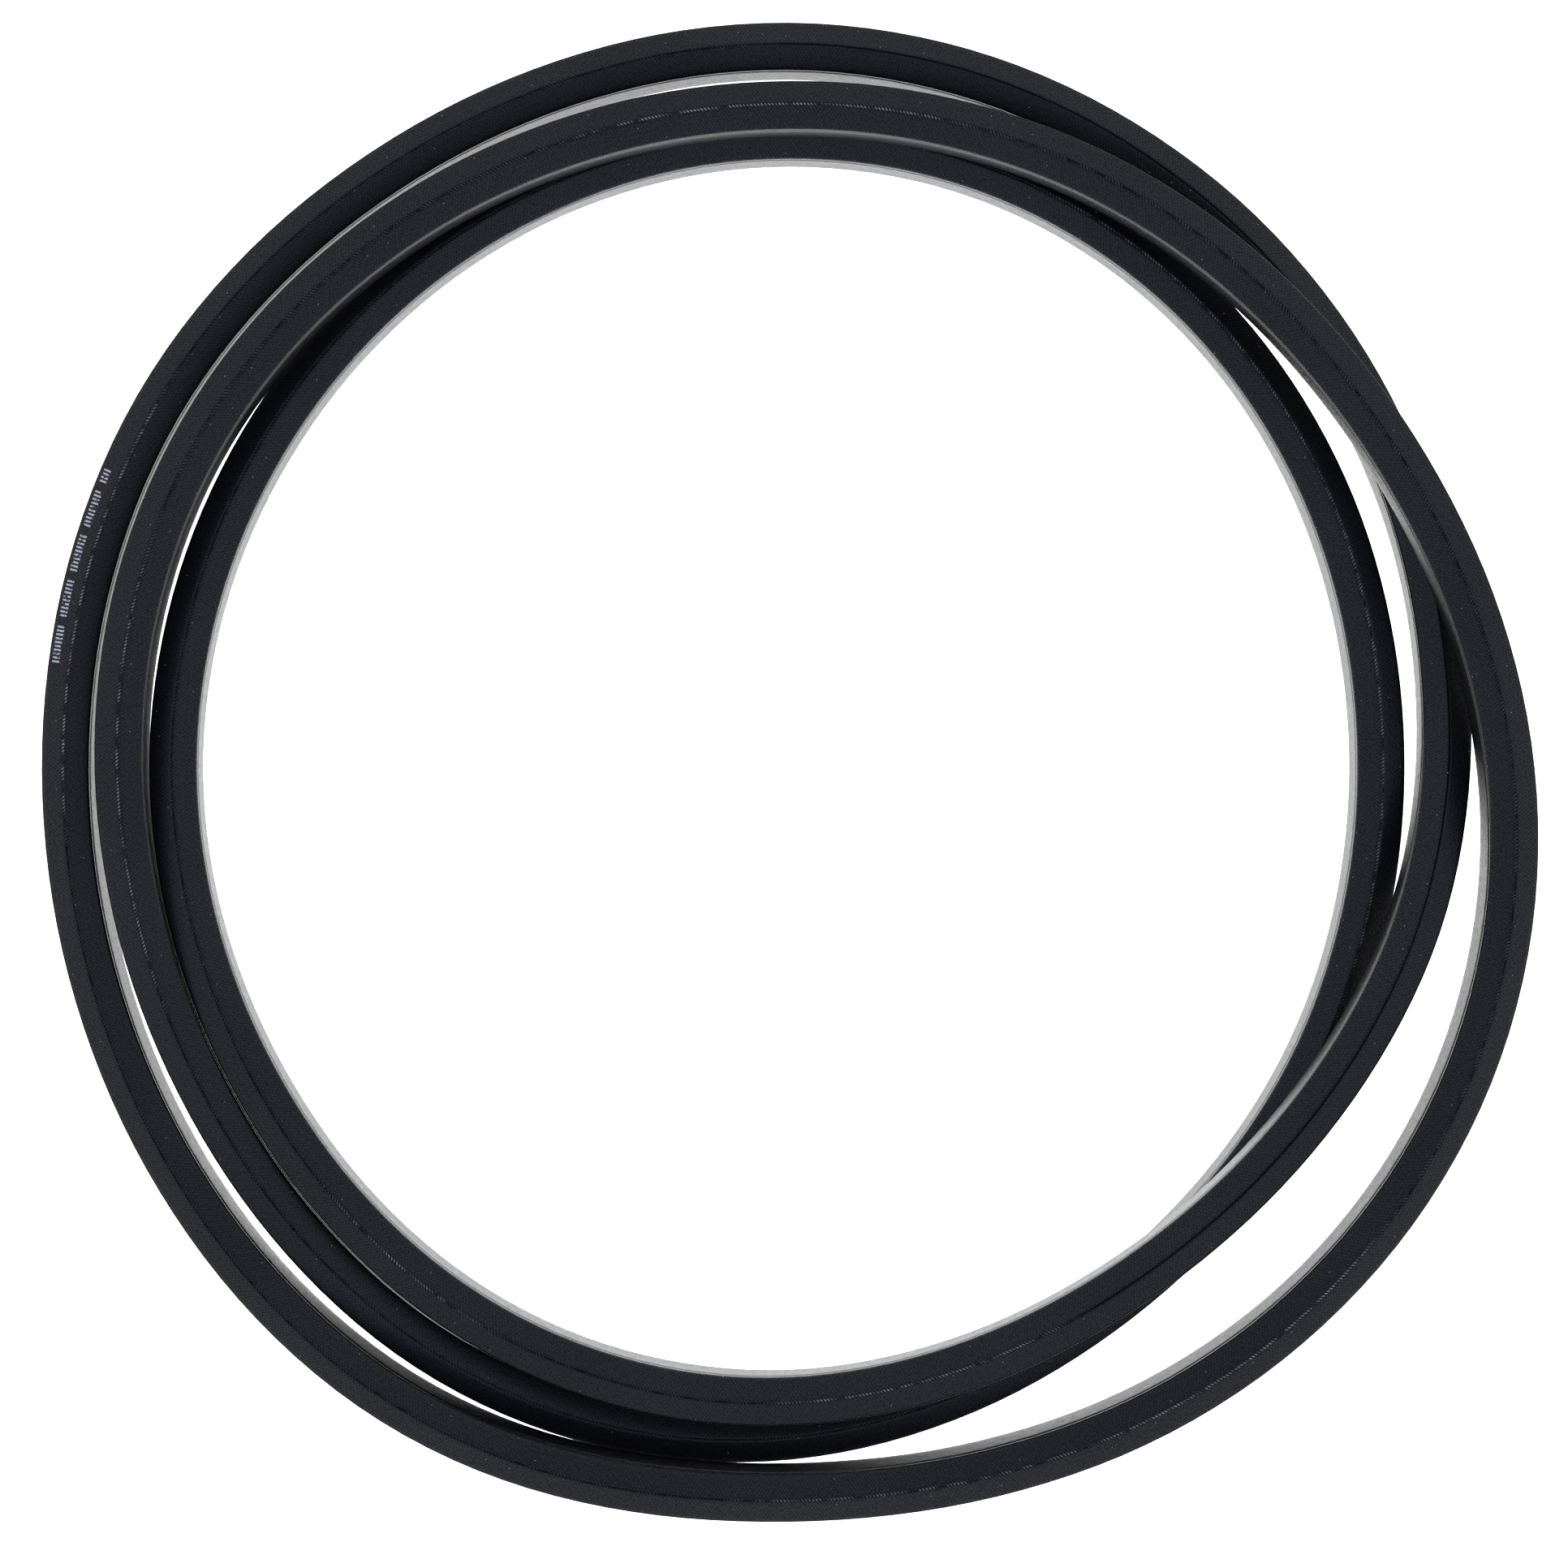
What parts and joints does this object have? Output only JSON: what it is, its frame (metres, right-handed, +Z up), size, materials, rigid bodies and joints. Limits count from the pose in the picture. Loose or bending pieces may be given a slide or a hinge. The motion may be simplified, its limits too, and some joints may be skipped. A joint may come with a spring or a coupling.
{
  "type": "hexagonal drive belt",
  "caption": "Endless hexagonal double-V rubber drive belt with a wrapped fabric cover, laid flat in a loose round coil.",
  "frame": {"origin": "middle of the coil's outline in plan, on the surface the belt lies on", "axes": "+Z up, across the belt's width; +Y towards the stretch where the outermost and middle strands lie one over the other's shoulder; seen from above the belt runs clockwise from +Y"},
  "size_m": [0.4024, 0.405, 0.034],
  "materials": {
    "rubberised_fabric": "matt black rubber-impregnated fabric with a fine weave",
    "inner_rubberised_fabric": "matt black frictioned fabric",
    "cushion_rubber_outer": "matt black rubber",
    "cushion_rubber_inner": "matt black rubber",
    "adhesion_gum_outer": "dark brown-black gum rubber",
    "adhesion_gum_inner": "dark brown-black gum rubber",
    "polyester_cord": "dipped, twisted polyester cord"
  },
  "bodies": {
    "root": {"fabric_outer_ply": "rubberised_fabric", "fabric_inner_ply": "inner_rubberised_fabric", "outer_cushion_rubber": "cushion_rubber_outer", "inner_cushion_rubber": "cushion_rubber_inner", "outer_adhesion_gum": "adhesion_gum_outer", "inner_adhesion_gum": "adhesion_gum_inner", "tension_cord": "polyester_cord"}
  },
  "joints": []
}
